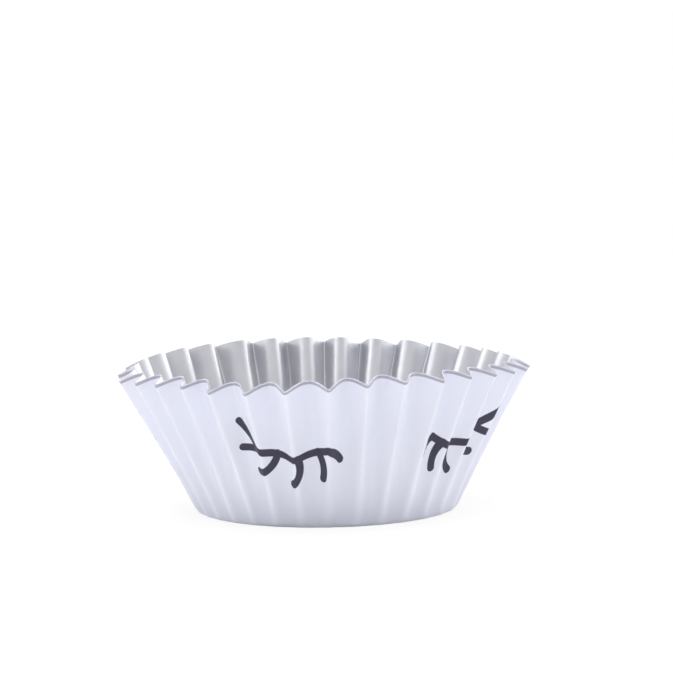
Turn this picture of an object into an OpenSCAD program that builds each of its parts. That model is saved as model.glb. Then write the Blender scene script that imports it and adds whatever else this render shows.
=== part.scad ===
// Pleated cupcake liner: one disc of coated paper, pressed into a cup.
// The base stays flat. The wall is taken up in outward and inward folds that run straight
// from the foot to the rim, so the cut edge rises and falls from fold to fold.
// Origin: centre of the base, on its underside. +Z up, front towards -Y. Millimetres, degrees.

/* [Base] */
// Diameter of the base, where its plane would meet the wall
base_d = 50; // [36:1:64]
// Outside radius of the bend from the base into the wall
foot_r = 1.2; // [0.8:0.1:2.5]

/* [Wall] */
// Length of the wall along a fold, from the base to the cut edge
wall_len = 30.2; // [18:0.2:40]
// Lean of the wall away from upright, midway between the folds
wall_lean = 22.8; // [16:0.2:32]
// Lean that the wall gains on its way from the foot to the rim
wall_curl = 2; // [0.5:0.5:8]
// Extra lean towards the two ends of the slightly oval rim
oval_lean = 3.2; // [0:0.2:5]
// Direction of one end of the oval rim, turned from the front
oval_dir = 119; // [0:1:180]

/* [Folds] */
// Number of outward folds round the wall
pleats = 32; // [20:1:36]
// Depth of the rounded folds, as a share of the depth that sharp ones would have
fold_fullness = 0.93; // [0.6:0.01:1]
// Share of each half fold that is rounded off at its outward crease
crease_out = 0.16; // [0.12:0.01:0.4]
// Share of each half fold that is rounded off at its inward crease
crease_in = 0.55; // [0.2:0.01:0.58]
// How far the folds stray from even spacing round the cup
fold_stray = 2.1; // [0:0.1:3]
// Direction from which that straying is counted
stray_dir = 33; // [0:1:180]
// Turn of the first outward fold away from the front
first_fold = 2.2; // [0:0.1:11]

/* [Sheet] */
// Thickness of the paper with its foil lining
sheet_t = 0.25; // [0.15:0.05:0.35]

/* [Hidden] */
// Pressing the disc doesn't stretch it, so the folded edge is as long as the flat disc's edge
flat_r = base_d / 2 + wall_len;
rim_r = base_d / 2 + wall_len * sin(wall_lean);
half_flat = PI * flat_r / pleats;
half_step = PI * rim_r / pleats;
fold_depth = fold_fullness * sqrt(half_flat * half_flat - half_step * half_step);
// Lean that an outward fold has more than the mean, and an inward fold less
fold_swing = asin(fold_depth / 2 / wall_len);
// Places across one fold, from crease to crease, where its rounding starts, turns and ends
half_stops = [0, crease_out, 1 - crease_in, 1 - crease_in / 2];
fold_stops = concat(half_stops / 2, [0.5], [for (i = [3:-1:1]) 1 - half_stops[i] / 2]);
columns = [for (k = [0:pleats - 1]) for (x = fold_stops) (k + x) * 360 / pleats];
// Rings up the sheet: the bend is 0 to 1 and the wall 1 to 2
rings = [0, 0.5, 1, 1.25, 1.5, 1.75, 2];
// Small step for the direction of the sheet's surface
step = 0.01;
paper_white = [0.91, 0.92, 0.96];

// Section across a fold: 1 on an outward crease, -1 on an inward one, straight between
function wave(u) =
    let (phase = u * pleats / 360 + 10.5,
         t = 2 * abs(phase - floor(phase) - 0.5),
         whole = 1 - (crease_out + crease_in) / 2,
         drop = t < crease_out ? t * t / (2 * crease_out)
              : t > 1 - crease_in ? whole - (1 - t) * (1 - t) / (2 * crease_in)
              : t - crease_out / 2)
    1 - 2 * drop / whole;

// Direction of a fold round the cup, from its even place u
function azimuth(u) = u + first_fold + fold_stray * sin(2 * (u - stray_dir));

// Lean of the wall at mid length
function lean(u) =
    wall_lean + oval_lean * cos(2 * (azimuth(u) - oval_dir)) + fold_swing * wave(u);

// Radius and height on the section through u: an arc for the bend, then a long arc for the wall
function section(u, v) =
    let (foot_lean = lean(u) - wall_curl / 2,
         turn = 90 - foot_lean,
         cut = foot_r * tan(turn / 2),
         arc_r = wall_len * 180 / PI / wall_curl,
         along = cut / wall_len + (v - 1) * (1 - cut / wall_len),
         now = foot_lean + wall_curl * along)
    v < 1
    ? [base_d / 2 - cut + foot_r * sin(v * turn), foot_r * (1 - cos(v * turn))]
    : [base_d / 2 + arc_r * (cos(foot_lean) - cos(now)), arc_r * (sin(now) - sin(foot_lean))];

// Point on the outside of the sheet
function skin(u, v) =
    let (p = section(u, v), a = azimuth(u))
    [p[0] * sin(a), -p[0] * cos(a), p[1]];

// Outward direction of the sheet there
function outward(u, v) =
    let (n = cross(skin(u + step, v) - skin(u - step, v), skin(u, v + step) - skin(u, v - step)))
    n / norm(n);

// Two triangles for each step round a band, from one ring of points to the next
function band(lower, upper) =
    let (n = len(columns))
    [for (i = [0:n - 1]) let (j = (i + 1) % n)
        each [[lower + i, upper + j, lower + j], [lower + i, upper + i, upper + j]]];

function reversed(faces) = [for (f = faces) [f[2], f[1], f[0]]];

module liner() {
    n = len(columns);
    side = n * len(rings);
    outside = [for (v = rings) for (u = columns) skin(u, v)];
    inside = [for (v = rings) for (u = columns) skin(u, v) - sheet_t * outward(u, v)];
    centres = [[0, 0, 0], [0, 0, sheet_t]];
    outer_bands = [for (r = [0:len(rings) - 2]) each band(r * n, (r + 1) * n)];
    inner_bands = reversed([for (r = [0:len(rings) - 2]) each band(side + r * n, side + (r + 1) * n)]);
    cut_edge = band(side - n, 2 * side - n);
    underside = [for (i = [0:n - 1]) [2 * side, i, (i + 1) % n]];
    floor_inside = [for (i = [0:n - 1]) [2 * side + 1, side + (i + 1) % n, side + i]];
    color(paper_white)
        polyhedron(
            points = concat(outside, inside, centres),
            faces = concat(outer_bands, inner_bands, cut_edge, underside, floor_inside));
}

liner();
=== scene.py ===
import math

import bmesh
import bpy
from mathutils import Matrix, Vector, noise


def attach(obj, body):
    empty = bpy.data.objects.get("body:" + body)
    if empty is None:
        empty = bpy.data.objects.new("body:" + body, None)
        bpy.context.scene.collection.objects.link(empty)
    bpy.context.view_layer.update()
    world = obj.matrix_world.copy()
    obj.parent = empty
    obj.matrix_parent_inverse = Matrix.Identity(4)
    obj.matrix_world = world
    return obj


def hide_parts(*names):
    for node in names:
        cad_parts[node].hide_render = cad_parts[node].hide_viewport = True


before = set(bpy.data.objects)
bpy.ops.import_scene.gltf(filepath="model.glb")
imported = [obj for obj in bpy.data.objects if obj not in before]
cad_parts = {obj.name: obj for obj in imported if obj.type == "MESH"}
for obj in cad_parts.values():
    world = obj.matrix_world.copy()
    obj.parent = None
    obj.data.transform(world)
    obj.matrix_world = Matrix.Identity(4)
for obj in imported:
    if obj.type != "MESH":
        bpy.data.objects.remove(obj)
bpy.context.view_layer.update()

mm = 0.001


# Small helpers for the shader trees

def newTree(owner):
    owner.use_nodes = True
    owner.node_tree.nodes.clear()
    return owner.node_tree


def put(tree, kind, plugs=None, **settings):
    # each plug is a value or another node's socket
    node = tree.nodes.new(kind)
    for name, value in settings.items():
        setattr(node, name, value)
    for name, value in (plugs or {}).items():
        socket = node.inputs[name]
        if isinstance(value, bpy.types.NodeSocket):
            tree.links.new(value, socket)
        else:
            socket.default_value = value
    return node


def calc(tree, operation, *values, clamp=False):
    plugs = dict(enumerate(values))
    return put(tree, "ShaderNodeMath", plugs, operation=operation, use_clamp=clamp).outputs[0]


def calcVector(tree, operation, *values):
    return put(tree, "ShaderNodeVectorMath", dict(enumerate(values)), operation=operation)


def ramp(tree, value, low, high):  # 0 at low, 1 at high, eased in between
    plugs = {"Value": value, "From Min": low, "From Max": high}
    return put(tree, "ShaderNodeMapRange", plugs, interpolation_type="SMOOTHSTEP").outputs[0]


def mixColour(tree, amount, first, second):
    return put(tree, "ShaderNodeMix", {0: amount, 6: first, 7: second}, data_type="RGBA").outputs[2]


def newGroup(name, takes, gives):  # also hands back the sockets at its two ends
    group = bpy.data.node_groups.new(name, "ShaderNodeTree")
    for label, kind in takes:
        group.interface.new_socket(label, in_out="INPUT", socket_type=kind)
    for label, kind in gives:
        group.interface.new_socket(label, in_out="OUTPUT", socket_type=kind)
    given = group.nodes.new("NodeGroupInput").outputs
    result = group.nodes.new("NodeGroupOutput").inputs
    return group, given, result


# The pressed sheet

sheet = {
    "baseWidth": 50 * mm,       # where the base plane would meet the wall
    "bendRadius": 1.2 * mm,
    "wallLength": 30.2 * mm,    # along a fold, foot to cut edge
    "wallLean": 22.8,           # degrees from upright, midway between the folds
    "wallCurl": 2.0,            # lean gained from foot to rim
    "ovalLean": 3.2,
    "ovalDirection": 119,
    "folds": 32,
    "foldFullness": 0.93,
    "creaseOut": 0.16,          # rounded share of a half fold, at its outward crease
    "creaseIn": 0.55,
    "foldStray": 2.1,
    "strayDirection": 33,
    "firstFold": 2.2,
    "thickness": 0.25 * mm,
    "stepsPerFold": 16,
    "creaseGather": 0.62,       # how much closer the mesh columns lie at an outward crease
    "baseRings": (0, 6, 12, 18, 22),  # mm
    "bendZone": 1.0 * mm,       # to each side of the bend's middle
    "bendRings": 8,
    "wallRings": 26,
    "mergeDistance": 0.001 * mm,
    # degrees that single outward folds lean out, turn aside at the rim and turn aside at the foot
    # fold 0 is the front one
    "ownLean": {-8: 0.7, -7: 1.0, -6: -1.1, -5: -2.4, -4: -3.1, -3: -0.5, -2: 0.1, -1: 0.0, 0: -0.2,
                1: -1.6, 2: -1.8, 3: -0.6, 4: -1.1, 5: -0.8, 6: -0.3, 7: 0.2, 8: 0.6},
    "ownTurn": {-8: 0.1, -7: -1.0, -6: -0.4, -5: -0.8, -4: -0.6, -3: -0.4, -2: 0.0, -1: 0.0, 0: 0.9,
                1: 0.4, 2: 0.5, 3: 1.05, 4: 0.3, 5: -0.4, 6: -0.8, 7: -0.3, 8: 0.2},
    "footTurn": {-3: 0.3, -2: 0.5, -1: 0.8, 0: 0.4, 1: 1.4, 2: 0.2, 3: -0.9, 4: -1.9, 5: -2.8, 6: -0.6},
    "footTurnFull": 1 / 12,     # share of the wall in which the turn at the foot comes in
    "otherLean": 1.6,           # lean and turn of the folds at the back, at most
    "otherTurn": 1.2,
    "leanSeed": 0.3,
    "turnSeed": 7.7,
    "foldSpacing": 1.37,        # from fold to fold, in the noise that gives those
    "foldSlice": 0.6,
    "creaseDrift": 0.22,        # degrees that a crease wanders off its line
    "driftFull": 1 / 3,         # share of the wall in which that comes in
    "driftLength": 9 * mm,
    "driftSpacing": 2.3,
    "driftSlice": 4.1,
    "surfaceDip": 0.10 * mm,    # deepest soft dent in the flanks
    "dipSize": 7 * mm,
    "dipFrom": 2 * mm,          # height where the dents start
    "dipRise": 6 * mm,          # and how much higher they are full
}
baseRadius = sheet["baseWidth"] / 2
discRadius = baseRadius + sheet["wallLength"]
foldPitch = 360 / sheet["folds"]


# Half the difference in lean between the two kinds of crease: the folded edge is as long as the disc's
def foldSwing():
    rimRadius = baseRadius + sheet["wallLength"] * math.sin(math.radians(sheet["wallLean"]))
    halfFlat = math.pi * discRadius / sheet["folds"]
    halfStep = math.pi * rimRadius / sheet["folds"]
    depth = sheet["foldFullness"] * math.sqrt(halfFlat ** 2 - halfStep ** 2)
    return math.degrees(math.asin(depth / 2 / sheet["wallLength"]))


foldLean = foldSwing()


def foldWave(turn):  # 1 on an outward crease, -1 on an inward one, straight in between
    out, inner = sheet["creaseOut"], sheet["creaseIn"]
    phase = turn / foldPitch
    across = 2 * abs(phase - round(phase))
    whole = 1 - (out + inner) / 2
    if across < out:
        drop = across ** 2 / (2 * out)
    elif across > 1 - inner:
        drop = whole - (1 - across) ** 2 / (2 * inner)
    else:
        drop = across - out / 2
    return 1 - 2 * drop / whole


# What sets one fold apart from the rule, blended from fold to fold
def ownShare(kept, spread, seed, turn):
    phase = turn / foldPitch
    first = math.floor(phase)
    half = sheet["folds"] // 2
    values = []
    for fold in (first, first + 1):
        fold = (fold + half) % sheet["folds"] - half
        place = Vector((fold * sheet["foldSpacing"], seed, sheet["foldSlice"]))
        values.append(kept[fold] if fold in kept else spread * noise.noise(place))
    return values[0] + (values[1] - values[0]) * (phase - first)


# Where a point of the flat disc goes: turn in degrees from the front, reach from the disc's centre
def pressed(turn, reach):
    stray = sheet["foldStray"] * math.sin(math.radians(2 * (turn - sheet["strayDirection"])))
    azimuth = turn + sheet["firstFold"] + stray
    oval = sheet["ovalLean"] * math.cos(math.radians(2 * (azimuth - sheet["ovalDirection"])))
    lean = sheet["wallLean"] + oval + foldLean * foldWave(turn)
    lean += ownShare(sheet["ownLean"], sheet["otherLean"], sheet["leanSeed"], turn)
    footLean = lean - sheet["wallCurl"] / 2
    rise = math.radians(90 - footLean)
    cut = sheet["bendRadius"] * math.tan(rise / 2)
    if reach < baseRadius - cut:
        radius, height = reach, 0.0
    elif reach < baseRadius + cut:
        angle = rise * (reach - baseRadius + cut) / (2 * cut)
        radius = baseRadius - cut + sheet["bendRadius"] * math.sin(angle)
        height = sheet["bendRadius"] * (1 - math.cos(angle))
    else:
        up = (reach - baseRadius) / sheet["wallLength"]
        arc = sheet["wallLength"] / math.radians(sheet["wallCurl"])
        start = math.radians(footLean)
        now = start + math.radians(sheet["wallCurl"]) * up
        radius = baseRadius + arc * (math.cos(start) - math.cos(now))
        height = arc * (math.sin(now) - math.sin(start))
        azimuth += ownShare(sheet["ownTurn"], sheet["otherTurn"], sheet["turnSeed"], turn) * up
        footShare = (1 - up) * min(1, up / sheet["footTurnFull"])
        azimuth += ownShare(sheet["footTurn"], 0, 0, turn) * footShare
        fold = round(turn / foldPitch) % sheet["folds"]
        along = reach / sheet["driftLength"]
        place = Vector((fold * sheet["driftSpacing"], along, sheet["driftSlice"]))
        driftShare = min(1, up / sheet["driftFull"]) * max(0, foldWave(turn))
        azimuth += sheet["creaseDrift"] * noise.noise(place) * driftShare
    a = math.radians(azimuth)
    return Vector((radius * math.sin(a), -radius * math.cos(a), height))


def flatDisc():
    bm = bmesh.new()
    bendFrom, bendTo = baseRadius - sheet["bendZone"], baseRadius + sheet["bendZone"]
    bendRings, wallRings = sheet["bendRings"], sheet["wallRings"]
    reaches = [ring * mm for ring in sheet["baseRings"]]
    reaches += [bendFrom + (bendTo - bendFrom) * i / bendRings for i in range(bendRings + 1)]
    reaches += [bendTo + (discRadius - bendTo) * i / wallRings for i in range(1, wallRings + 1)]
    row = [bm.verts.new((reach, 0, 0)) for reach in reaches]
    edges = [bm.edges.new(pair) for pair in zip(row, row[1:])]
    steps = sheet["folds"] * sheet["stepsPerFold"]
    bmesh.ops.spin(bm, geom=row + edges, cent=(0, 0, 0), axis=(0, 0, 1), angle=math.tau,
                   steps=steps, use_merge=True)
    bmesh.ops.remove_doubles(bm, verts=bm.verts, dist=sheet["mergeDistance"])
    bmesh.ops.recalc_face_normals(bm, faces=bm.faces)
    if next(iter(bm.faces)).normal.z > 0:  # the outside of the cup is the underside of the disc
        bmesh.ops.reverse_faces(bm, faces=bm.faces)
    return bm


def turnOf(point):
    return math.degrees(math.atan2(point.x, -point.y))


def gatherColumns(bm):
    for vert in bm.verts:
        reach = vert.co.xy.length
        phase = turnOf(vert.co) / foldPitch
        phase -= sheet["creaseGather"] * math.sin(math.tau * phase) / math.tau
        angle = math.radians(phase * foldPitch)
        vert.co = (reach * math.sin(angle), -reach * math.cos(angle), 0)


def keepFlatPlace(bm):
    flat = bm.loops.layers.uv.new("flatSheet")
    for face in bm.faces:
        for loop in face.loops:
            place = loop.vert.co
            loop[flat].uv = (0.5 + place.x / discRadius / 2, 0.5 + place.y / discRadius / 2)


def pressDisc(bm):
    for vert in bm.verts:
        vert.co = pressed(turnOf(vert.co), vert.co.xy.length)
    bm.normal_update()
    dips = []
    for vert in bm.verts:
        up = min(1, max(0, vert.co.z - sheet["dipFrom"]) / sheet["dipRise"])
        depth = sheet["surfaceDip"] * (0.5 + noise.noise(vert.co / sheet["dipSize"])) * up
        dips.append((vert, vert.normal * depth))
    for vert, dip in dips:
        vert.co -= dip


def makeLiner():
    bm = flatDisc()
    gatherColumns(bm)
    keepFlatPlace(bm)
    pressDisc(bm)
    for face in bm.faces:
        face.smooth = True
    for edge in bm.edges:
        if edge.is_boundary:
            edge.smooth = False
    mesh = bpy.data.meshes.new("pleatedLiner")
    bm.to_mesh(mesh)
    bm.free()
    piece = bpy.data.objects.new("pleatedLiner", mesh)
    bpy.context.scene.collection.objects.link(piece)
    wall = piece.modifiers.new("paperThickness", "SOLIDIFY")
    wall.thickness = sheet["thickness"]
    wall.offset = -1
    wall.material_offset = 1      # foil on the inner side
    wall.material_offset_rim = 2  # the cut edge
    return piece


# The print: one closed eye, drawn from bowed strokes, mirrored into a pair and repeated at the back

eyePrint = {
    "offCentre": (0.71, -1.08, 0),  # mm that the print sits off the middle of the disc
    "pairTurn": 19.44,     # degrees on the flat sheet, to the middle of the front pair
    "pairsApart": 180,     # degrees
    "eyeTurn": 32.84,      # from the pair's middle to the middle of an eye
    "reach": 40.15,        # mm from the print's centre to the eye
    "lidWidth": 1.50,      # mm
    "edgeSoftness": 0.10,  # mm
    "lidOuter": (8.2, 1.56),   # ends of the lid, outwards and up from the eye's middle, mm
    "lidInner": (-8.6, 0.66),
    "lidBow": 2.15,        # mm
    # each lash: where it leaves the lid, outwards in mm; length; heading (0 down, 90 outwards); bow; width
    "lashes": [
        (7.8, 6.8, 141, -0.35, 1.45),
        (8.3, 4.4, 84, -0.35, 1.50),
        (3.9, 6.0, 58, -1.0, 1.66),
        (-1.3, 5.8, 20, -1.15, 1.68),
        (-6.15, 5.4, -10.5, -0.65, 1.66),
        (-8.5, 4.1, -48, -0.25, 1.58),
    ],
}


# Centre, radius, direction of its middle and half opening of the arc from start to end
def bowedStroke(start, end, bow):
    start, end = Vector(start), Vector(end)
    half = (end - start) / 2
    reach = half.length
    side = Vector((-half.y, half.x)) / reach * math.copysign(1, bow)
    radius = (reach ** 2 + bow ** 2) / (2 * abs(bow))
    centre = (start + end) / 2 + side * (abs(bow) - radius)
    return centre, radius, math.atan2(side.y, side.x), math.asin(min(1, reach / radius))


def lidHeight(out):
    outer, inner = eyePrint["lidOuter"], eyePrint["lidInner"]
    along = (out - inner[0]) / (outer[0] - inner[0])
    return inner[1] + (outer[1] - inner[1]) * along - 4 * eyePrint["lidBow"] * along * (1 - along)


def eyeStrokes():
    lid = bowedStroke(eyePrint["lidOuter"], eyePrint["lidInner"], eyePrint["lidBow"])
    strokes = [(lid, eyePrint["lidWidth"])]
    for out, length, heading, bow, width in eyePrint["lashes"]:
        root = Vector((out, lidHeight(out)))
        angle = math.radians(heading)
        tip = root + length * Vector((math.sin(angle), -math.cos(angle)))
        strokes.append((bowedStroke(root, tip, bow), width))
    return strokes


# Distance in mm from a round-ended arc, centred on Centre, its middle towards Facing
def makeStrokeGroup():
    takes = [("Place", "NodeSocketVector"), ("Centre", "NodeSocketVector"), ("Facing", "NodeSocketFloat"),
             ("Radius", "NodeSocketFloat"), ("Opening", "NodeSocketFloat")]
    tree, given, result = newGroup("bowedStroke", takes, [("Distance", "NodeSocketFloat")])
    radius = given["Radius"]
    moved = calcVector(tree, "SUBTRACT", given["Place"], given["Centre"]).outputs[0]
    split = put(tree, "ShaderNodeSeparateXYZ", {"Vector": moved}).outputs
    fromCentre = calcVector(tree, "LENGTH", moved).outputs["Value"]
    angle = calc(tree, "SUBTRACT", calc(tree, "ARCTAN2", split["Y"], split["X"]), given["Facing"])
    away = calc(tree, "ABSOLUTE", calc(tree, "WRAP", angle, math.pi, -math.pi))
    beside = calc(tree, "ABSOLUTE", calc(tree, "SUBTRACT", fromCentre, radius))
    pastEnd = calc(tree, "SUBTRACT", away, given["Opening"])
    # beyond an end, the law of cosines gives the distance to that end
    squares = calc(tree, "ADD", calc(tree, "MULTIPLY", fromCentre, fromCentre),
                   calc(tree, "MULTIPLY", radius, radius))
    crossed = calc(tree, "MULTIPLY", calc(tree, "MULTIPLY", fromCentre, radius), 2.0)
    chord = calc(tree, "SUBTRACT", squares, calc(tree, "MULTIPLY", crossed, calc(tree, "COSINE", pastEnd)))
    toEnd = calc(tree, "SQRT", calc(tree, "MAXIMUM", chord, 0.0))
    past = calc(tree, "GREATER_THAN", pastEnd, 0.0)
    near = calc(tree, "MULTIPLY", beside, calc(tree, "SUBTRACT", 1.0, past))
    tree.links.new(calc(tree, "ADD", near, calc(tree, "MULTIPLY", toEnd, past)), result["Distance"])
    return tree


# Turn in degrees from the front and reach in mm on the flat sheet, and how far the creases are from there
def makeFlatPlaceGroup():
    takes = [("UV", "NodeSocketVector"), ("Off Centre", "NodeSocketVector")]
    gives = [(label, "NodeSocketFloat") for label in ("Turn", "Reach", "Outward", "Inward")]
    tree, given, result = newGroup("flatPlace", takes, gives)
    centred = calcVector(tree, "SUBTRACT", given["UV"], (0.5, 0.5, 0)).outputs[0]
    inMm = {0: centred, "Scale": 2 * discRadius / mm}
    full = put(tree, "ShaderNodeVectorMath", inMm, operation="SCALE").outputs[0]
    across = calcVector(tree, "SUBTRACT", full, given["Off Centre"]).outputs[0]
    split = put(tree, "ShaderNodeSeparateXYZ", {"Vector": across}).outputs
    reach = calcVector(tree, "LENGTH", across).outputs["Value"]
    radians = calc(tree, "ARCTAN2", split["X"], calc(tree, "MULTIPLY", split["Y"], -1.0))
    turn = calc(tree, "DEGREES", radians)
    fromCrease = calc(tree, "PINGPONG", calc(tree, "DIVIDE", turn, foldPitch), 0.5)
    pitchWidth = calc(tree, "MULTIPLY", reach, math.radians(foldPitch))
    outward = calc(tree, "MULTIPLY", fromCrease, pitchWidth)
    inward = calc(tree, "MULTIPLY", calc(tree, "SUBTRACT", 0.5, fromCrease), pitchWidth)
    for label, socket in (("Turn", turn), ("Reach", reach), ("Outward", outward), ("Inward", inward)):
        tree.links.new(socket, result[label])
    return tree


# Soft mottling and fine grain, on the object's own coordinates
def makeSurfaceGroup():
    takes = [("Place", "NodeSocketVector"), ("Patch Scale", "NodeSocketFloat"),
             ("Grain Scale", "NodeSocketFloat")]
    gives = [("Patches", "NodeSocketFloat"), ("Grain", "NodeSocketFloat")]
    tree, given, result = newGroup("sheetSurface", takes, gives)
    for label, scale, detail in (("Patches", "Patch Scale", 3.0), ("Grain", "Grain Scale", 4.0)):
        plugs = {"Vector": given["Place"], "Scale": given[scale], "Detail": detail}
        tree.links.new(put(tree, "ShaderNodeTexNoise", plugs).outputs["Fac"], result[label])
    return tree


flatPlaceGroup = makeFlatPlaceGroup()
strokeGroup = makeStrokeGroup()
surfaceGroup = makeSurfaceGroup()


def flatPlace(tree, offCentre=(0, 0, 0)):
    plugs = {"UV": put(tree, "ShaderNodeUVMap", uv_map="flatSheet").outputs["UV"], "Off Centre": offCentre}
    return put(tree, "ShaderNodeGroup", plugs, node_tree=flatPlaceGroup).outputs


def surface(tree, finish):
    plugs = {"Place": put(tree, "ShaderNodeTexCoord").outputs["Object"],
             "Patch Scale": finish["patchScale"], "Grain Scale": finish["grainScale"]}
    return put(tree, "ShaderNodeGroup", plugs, node_tree=surfaceGroup).outputs


def creaseMask(tree, flat, side, finish):  # 1 on a crease, 0 beside it and all over the base
    onWall = ramp(tree, flat["Reach"], baseRadius / mm, baseRadius / mm + finish["creaseFade"])
    return calc(tree, "MULTIPLY", ramp(tree, flat[side], finish["creaseWidth"], 0.0), onWall)


def bump(tree, height, finish):
    plugs = {"Height": height, "Strength": finish["bump"], "Distance": finish["bumpDepth"]}
    return put(tree, "ShaderNodeBump", plugs).outputs[0]


def inkMask(tree):
    flat = flatPlace(tree, eyePrint["offCentre"])
    fromMiddle = calc(tree, "SUBTRACT", flat["Turn"], eyePrint["pairTurn"])
    toMiddle = calc(tree, "PINGPONG", fromMiddle, eyePrint["pairsApart"] / 2)
    outwards = calc(tree, "MULTIPLY", calc(tree, "SUBTRACT", toMiddle, eyePrint["eyeTurn"]),
                    math.radians(1) * eyePrint["reach"])
    upwards = calc(tree, "SUBTRACT", flat["Reach"], eyePrint["reach"])
    place = put(tree, "ShaderNodeCombineXYZ", {"X": outwards, "Y": upwards}).outputs[0]
    nearest = None
    for (centre, radius, facing, opening), width in eyeStrokes():
        plugs = {"Place": place, "Centre": (centre.x, centre.y, 0), "Facing": facing, "Radius": radius,
                 "Opening": opening}
        stroke = put(tree, "ShaderNodeGroup", plugs, node_tree=strokeGroup)
        distance = calc(tree, "SUBTRACT", stroke.outputs["Distance"], width / 2)
        nearest = distance if nearest is None else calc(tree, "MINIMUM", nearest, distance)
    soft = eyePrint["edgeSoftness"] / 2
    return ramp(tree, nearest, soft, -soft)


# Finishes

paper = {
    "white": (0.790, 0.805, 0.905, 1),
    "shade": (0.765, 0.780, 0.885, 1),   # in soft patches
    "patchScale": 90.0,
    "grainScale": 2600.0,
    "crease": (0.885, 0.900, 0.985, 1),  # painted highlight along an outward crease
    "creaseWidth": 1.45,                 # mm to each side
    "creaseFade": 1.0,                   # mm of wall in which it comes in above the foot
    "highlightReach": (46, 29),             # mm from the centre: none beyond the first, full at the second
    "highlightLeast": 0.35,                 # share of the painted highlight on the folds where it is weakest
    "ink": (0.043, 0.039, 0.073, 1),
    "paleRimLine": (0.62, 0.61, 0.71, 1),   # paler line right at the cut
    "paleRimLineWidth": 0.14,               # mm
    "margin": (0.39, 0.385, 0.47, 1),    # grey band below it
    "marginWidth": 0.62,                 # mm, both together
    "marginBlur": 0.04,                  # mm
    "marginStreak": 0.55,                # how uneven the grey is
    "streakFrom": 0.3,                   # grain that leaves the grey as it is
    "roughness": 0.5,
    "specular": 0.35,
    "bump": 0.10,
    "bumpDepth": 0.05 * mm,
}
foil = {
    "silver": (0.61, 0.61, 0.64, 1),
    "dull": (0.50, 0.51, 0.55, 1),
    "patchScale": 160.0,
    "grainScale": 1500.0,
    "roughness": (0.32, 0.44),  # from patch to patch
    "creaseWidth": 0.9,         # mm
    "creaseFade": 3.0,          # mm
    "creaseRoughness": 0.10,    # more there
    "grainHeight": 0.06,        # against the patches' height of 1
    "bump": 0.5,
    "bumpDepth": 0.3 * mm,
}
cutEdge = {
    "fibre": (0.52, 0.51, 0.60, 1),
    "lining": (0.36, 0.36, 0.43, 1),
    "patchScale": 700.0,
    "grainScale": 2600.0,
    "patchStep": (0.35, 0.65),
    "roughness": 0.6,
    "bump": 0.4,
    "bumpDepth": 0.08 * mm,
}


def finishTree(tree, plugs):
    shader = put(tree, "ShaderNodeBsdfPrincipled", plugs)
    put(tree, "ShaderNodeOutputMaterial", {"Surface": shader.outputs[0]})


def paperCreaseHighlight(tree, flat):  # painted highlight on the outward creases: strongest near the foot, and on some folds more than on others
    crease = creaseMask(tree, flat, "Outward", paper)
    low = ramp(tree, flat["Reach"], *paper["highlightReach"])
    twice = calc(tree, "MULTIPLY", flat["Turn"], math.radians(2))
    byTurn = calc(tree, "ABSOLUTE", calc(tree, "SINE", twice))
    least = paper["highlightLeast"]
    byTurn = calc(tree, "ADD", calc(tree, "MULTIPLY", byTurn, 1 - least), least)
    return calc(tree, "MULTIPLY", crease, calc(tree, "MULTIPLY", low, byTurn))


def withinOfEdge(tree, flat, width):  # 1 from width mm inside the cut edge outwards
    edge, blur = discRadius / mm, paper["marginBlur"]
    return ramp(tree, flat["Reach"], edge - width - blur, edge - width + blur)


def makePaper():
    material = bpy.data.materials.new("printedPaper")
    tree = newTree(material)
    flat = flatPlace(tree)
    look = surface(tree, paper)
    colour = mixColour(tree, look["Patches"], paper["white"], paper["shade"])
    # painted highlight on the outward creases
    colour = mixColour(tree, paperCreaseHighlight(tree, flat), colour, paper["crease"])
    colour = mixColour(tree, inkMask(tree), colour, paper["ink"])
    # a paler line right at the cut edge, over a streaked grey band
    paleLine = withinOfEdge(tree, flat, paper["paleRimLineWidth"])
    uneven = calc(tree, "SUBTRACT", look["Grain"], paper["streakFrom"])
    streak = calc(tree, "MULTIPLY", uneven, paper["marginStreak"])
    band = mixColour(tree, calc(tree, "ADD", paleLine, streak, clamp=True), paper["margin"], paper["paleRimLine"])
    colour = mixColour(tree, withinOfEdge(tree, flat, paper["marginWidth"]), colour, band)
    finishTree(tree, {"Base Color": colour, "Roughness": paper["roughness"],
                      "Specular IOR Level": paper["specular"], "Normal": bump(tree, look["Grain"], paper)})
    return material


def makeFoil():
    material = bpy.data.materials.new("foilLining")
    tree = newTree(material)
    look = surface(tree, foil)
    colour = mixColour(tree, look["Patches"], foil["silver"], foil["dull"])
    smooth, rough = foil["roughness"]
    roughness = calc(tree, "ADD", calc(tree, "MULTIPLY", look["Patches"], rough - smooth), smooth)
    crease = creaseMask(tree, flatPlace(tree), "Inward", foil)
    roughness = calc(tree, "ADD", roughness, calc(tree, "MULTIPLY", crease, foil["creaseRoughness"]))
    height = calc(tree, "ADD", look["Patches"], calc(tree, "MULTIPLY", look["Grain"], foil["grainHeight"]))
    finishTree(tree, {"Base Color": colour, "Metallic": 1.0, "Roughness": roughness,
                      "Normal": bump(tree, height, foil)})
    return material


def makeCutEdge():
    material = bpy.data.materials.new("cutEdge")
    tree = newTree(material)
    look = surface(tree, cutEdge)
    layers = ramp(tree, look["Patches"], *cutEdge["patchStep"])
    colour = mixColour(tree, layers, cutEdge["fibre"], cutEdge["lining"])
    finishTree(tree, {"Base Color": colour, "Roughness": cutEdge["roughness"],
                      "Normal": bump(tree, look["Grain"], cutEdge)})
    return material


liner = makeLiner()
print("liner pressed:", len(liner.data.vertices), "points")
for make in (makePaper, makeFoil, makeCutEdge):
    liner.data.materials.append(make())
print("finishes made:", ", ".join(material.name for material in liner.data.materials))
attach(liner, "root")
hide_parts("liner")


# Floor, light and camera

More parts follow.
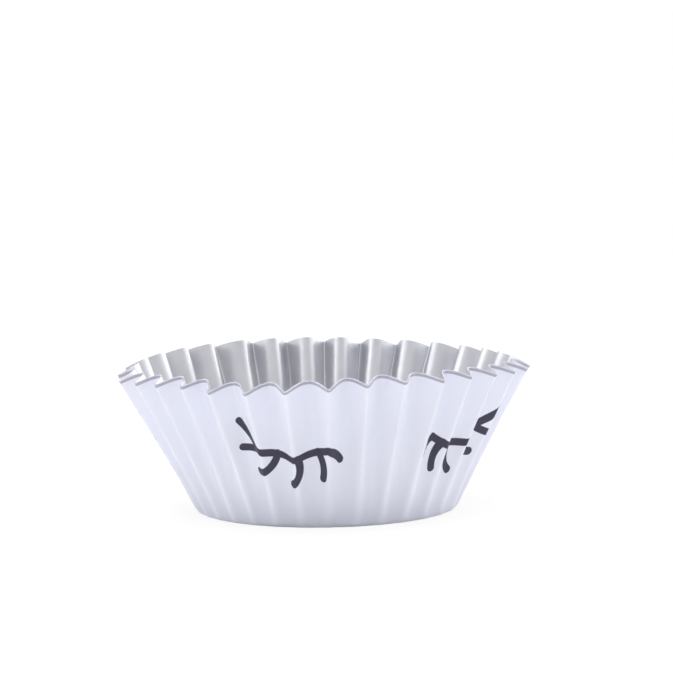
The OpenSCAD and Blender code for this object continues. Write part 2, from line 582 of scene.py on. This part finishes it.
studio = {
    "floorSize": 14.0,
    "floorSquares": 8,
    "floorColour": (0.92, 0.92, 0.92, 1),
    "floorGlow": 0.86,          # share of plain white in the floor as it is seen
    "glowFull": (0.12, 0.5),    # it grows to 1 between these distances from the cup
    "fillStrength": 0.02,       # of the surroundings, on the object
    "cameraDistance": 0.720,
    "cameraElevation": 9.21,
    "cameraRoll": -0.861,
    "aim": (2.39 * mm, 5.3 * mm, 32.29 * mm),
    "lens": 200.06,
    "clipEnd": 50,
    # each lamp: azimuth from the front, elevation, distance, size, power
    "lamps": [
        (0, 89, 1.0, 1.4, 19.0),
        (125, 30, 1.0, 1.1, 5.1),
        (-88, 50, 1.0, 1.2, 6.0),
        (85, 22, 1.0, 0.8, 1.1),
    ],
    "lampTarget": (0, 0, 14 * mm),
    "overhead": 80,             # a lamp this high or higher is kept out of reflections
}


def seenDirectly(tree):  # by the camera, in a reflection or through glass
    path = put(tree, "ShaderNodeLightPath").outputs
    reflected = calc(tree, "MAXIMUM", path["Is Glossy Ray"], path["Is Transmission Ray"])
    return calc(tree, "MAXIMUM", path["Is Camera Ray"], reflected)


def makeFloor():
    bm = bmesh.new()
    squares = studio["floorSquares"]
    bmesh.ops.create_grid(bm, x_segments=squares, y_segments=squares, size=studio["floorSize"] / 2)
    mesh = bpy.data.meshes.new("floor")
    bm.to_mesh(mesh)
    bm.free()
    floor = bpy.data.objects.new("floor", mesh)
    bpy.context.scene.collection.objects.link(floor)
    material = bpy.data.materials.new("paleFloor")
    tree = newTree(material)
    base = put(tree, "ShaderNodeBsdfDiffuse", {"Color": studio["floorColour"]})
    place = put(tree, "ShaderNodeTexCoord").outputs["Object"]
    away = calcVector(tree, "LENGTH", place).outputs["Value"]
    glow = calc(tree, "MAXIMUM", ramp(tree, away, *studio["glowFull"]), studio["floorGlow"])
    strength = calc(tree, "MULTIPLY", seenDirectly(tree), glow)
    white = put(tree, "ShaderNodeEmission", {"Strength": 1.0})
    both = put(tree, "ShaderNodeMixShader", {0: strength, 1: base.outputs[0], 2: white.outputs[0]})
    put(tree, "ShaderNodeOutputMaterial", {"Surface": both.outputs[0]})
    mesh.materials.append(material)


def makeSurroundings():
    world = bpy.data.worlds.new("studio")
    bpy.context.scene.world = world
    tree = newTree(world)
    seen = seenDirectly(tree)
    fill = studio["fillStrength"]
    strength = calc(tree, "ADD", calc(tree, "MULTIPLY", seen, 1 - fill), fill)
    background = put(tree, "ShaderNodeBackground", {"Strength": strength, "Color": (1, 1, 1, 1)})
    put(tree, "ShaderNodeOutputWorld", {"Surface": background.outputs[0]})


def makeLamps():
    target = Vector(studio["lampTarget"])
    for number, (azimuth, elevation, distance, size, power) in enumerate(studio["lamps"]):
        a, e = math.radians(azimuth), math.radians(elevation)
        away = Vector((math.sin(a) * math.cos(e), -math.cos(a) * math.cos(e), math.sin(e)))
        light = bpy.data.lights.new(f"softbox{number}", "AREA")
        light.size = size
        light.energy = power
        lamp = bpy.data.objects.new(f"softbox{number}", light)
        bpy.context.scene.collection.objects.link(lamp)
        lamp.location = target + away * distance
        lamp.rotation_euler = away.to_track_quat("Z", "Y").to_euler()
        lamp.visible_glossy = elevation < studio["overhead"]  # the flat foil base would mirror it


def makeCamera():
    lens = bpy.data.cameras.new("camera")
    lens.lens = studio["lens"]
    lens.clip_end = studio["clipEnd"]
    camera = bpy.data.objects.new("camera", lens)
    bpy.context.scene.collection.objects.link(camera)
    e = math.radians(studio["cameraElevation"])
    camera.location = Vector((0, -math.cos(e), math.sin(e))) * studio["cameraDistance"]
    back = (camera.location - Vector(studio["aim"])).normalized()
    level = back.to_track_quat("Z", "Y").to_matrix().to_4x4()
    roll = Matrix.Rotation(math.radians(studio["cameraRoll"]), 4, "Z")
    camera.rotation_euler = (level @ roll).to_euler()
    bpy.context.scene.camera = camera


makeFloor()
makeSurroundings()
makeLamps()
makeCamera()
bpy.context.scene.view_settings.view_transform = "Standard"
print("studio ready")
